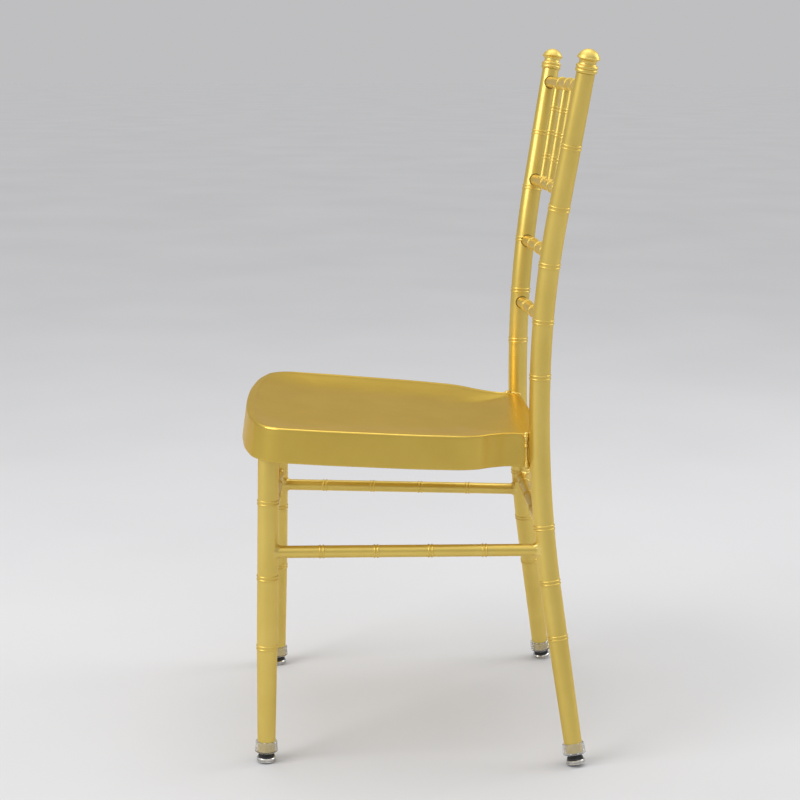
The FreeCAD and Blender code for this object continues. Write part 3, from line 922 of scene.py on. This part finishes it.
def seat_meets_upright(start, end, drop):
    """Place where one run of the apron reaches the upright's skin, a share of the way down, by halving."""
    low, high = 0.0, 1.0
    out = (end - start).normalized().cross(UP) * (apron_flare * drop)
    for _ in range(halvings):
        share = (low + high) / 2
        place = seat_space(*(start.lerp(end, share) + out).xy, -apron_depth * drop)
        gap = place - upright_at(place.z)[0]
        if math.hypot(gap.x, gap.y) > upright_radius:
            low = share
        else:
            high = share
    return place


def collar_line(start, end):
    """Line on the seat round the back of the upright, between two places on its skin."""
    post = upright_at(seat_rim_height)[0]
    first, final = (math.atan2(p.y - post.y, p.x - post.x) % math.tau for p in (start, end))
    line = []
    for i in range(1, collar_steps):
        turn = first + (final - first) * i / collar_steps
        skin = post + Vector((math.cos(turn), math.sin(turn), 0)) * (upright_radius + collar_gap)
        line.append(seat_space(skin.x, skin.y, -collar_sink))
    return line


def front_bead_girth(drop):
    """Girth a share of the way down: a blob at both ends and a small lump between them."""
    girth = outer_girth + low_blob * eased(drop, *low_blob_reach) + high_blob * eased(drop, *high_blob_reach)
    return girth + lump * (abs(drop - lump_place) < lump_half)


def weld_seat(label, side):
    """Weld round the upright where the seat meets it, and a thicker bead in front of it."""
    before, corner = (Vector((*place, 0)) for place in seat_outline[-2:])
    behind = Vector((0, seat_back_y, 0))
    drops = [1 - i / seat_weld_rows for i in range(seat_weld_rows + 1)]
    outer = [seat_meets_upright(before, corner, drop) for drop in drops]
    inner = [seat_meets_upright(behind, corner, drop) for drop in reversed(drops)]
    collar = collar_line(outer[-1], inner[0])
    line = [p + outer_shift for p in outer] + collar + [p + inner_shift for p in inner]
    girths = [outer_girth] * len(outer) + [collar_girth] * len(collar)
    girths += [inner_girth + inner_end_swell * eased(abs(drop - 0.5), *inner_end_reach) for drop in drops]
    line = [flipped(p, side) for p in line]
    weld("weld_seat_upright_" + label, line, seat_weld_radius, girths, closed=False)
    bead = [flipped(p + front_bead_shift, side) for p in outer]
    girths = [front_bead_girth(drop) for drop in drops]
    weld("weld_seat_front_" + label, bead, front_bead_radius, girths, closed=False)


def finish_cad_pieces():
    """Finish for the solids that stay as they are."""
    finishes = {
        "glide_base": plating, "glide_cushion": rubber, "glide_sleeve": cup_plastic,
        "glide_stem": screw, "foot_plug": plug, "finial": finial_gold}
    for name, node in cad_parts.items():
        for start, material in finishes.items():
            if name.startswith(start):
                node.data.materials.clear()
                node.data.materials.append(material)


# Light, floor and camera

def sky():
    """Soft, plain light from all round, dimmer at eye level."""
    world = bpy.data.worlds.new("studio")
    bpy.context.scene.world = world
    world.use_nodes = True
    nodes, links = world.node_tree.nodes, world.node_tree.links
    where = nodes.new("ShaderNodeTexCoord")
    split = nodes.new("ShaderNodeSeparateXYZ")
    links.new(where.outputs["Generated"], split.inputs[0])
    tones = ramp(nodes, links, split.outputs["Z"], sky_tones)
    links.new(tones, nodes["Background"].inputs["Color"])
    nodes["Background"].inputs["Strength"].default_value = 1.0


def pale_floor():
    """Wide matt floor."""
    material, nodes, links, main = shader("pale_floor")
    cloud = object_noise(nodes, links, 1.5, 3)
    links.new(ramp(nodes, links, cloud, ((0.3, (0.63, 0.63, 0.64)), (0.7, (0.66, 0.66, 0.67)))),
              main.inputs["Base Color"])
    main.inputs["Roughness"].default_value = 0.9
    main.inputs["Specular IOR Level"].default_value = 0.0
    floor_mesh = bpy.data.meshes.new("floor")
    corners = [(x * floor_reach, y * floor_reach, 0) for x, y in ((-1, -1), (1, -1), (1, 1), (-1, 1))]
    floor_mesh.from_pydata(corners, [], [(0, 1, 2, 3)])
    piece("floor", floor_mesh, material)


def area_lamps():
    """Large soft lamps, all turned to the chair."""
    for name, place, width, watts in lamps:
        lamp = bpy.data.lights.new(name, "AREA")
        lamp.size = width
        lamp.energy = watts
        holder = bpy.data.objects.new(name, lamp)
        bpy.context.scene.collection.objects.link(holder)
        holder.location = place
        holder.rotation_mode = "QUATERNION"
        holder.rotation_quaternion = (lamp_target - Vector(place)).to_track_quat("-Z", "Y")


def photo_camera():
    """Camera at the photograph's viewing angle."""
    level = Vector((-math.cos(camera_heading), math.sin(camera_heading), 0))
    ahead = level * math.cos(camera_tilt) - UP * math.sin(camera_tilt)
    right = ahead.cross(UP).normalized()
    above = right.cross(ahead)
    cosine, sine = math.cos(camera_roll), math.sin(camera_roll)
    right, above = right * cosine + above * sine, above * cosine - right * sine
    lens = bpy.data.cameras.new("camera")
    lens.sensor_width = sensor_width
    lens.lens = focal_length
    lens.clip_start, lens.clip_end = 0.05, 200
    holder = bpy.data.objects.new("camera", lens)
    bpy.context.scene.collection.objects.link(holder)
    turn = Matrix((right, above, -ahead)).transposed().to_4x4()
    holder.matrix_world = Matrix.Translation(camera_place) @ turn
    bpy.context.scene.camera = holder


build_frame_tubes()
seat_sheet()
build_joint_welds()
finish_cad_pieces()
sky()
pale_floor()
area_lamps()
photo_camera()
bpy.context.scene.view_settings.view_transform = "Standard"
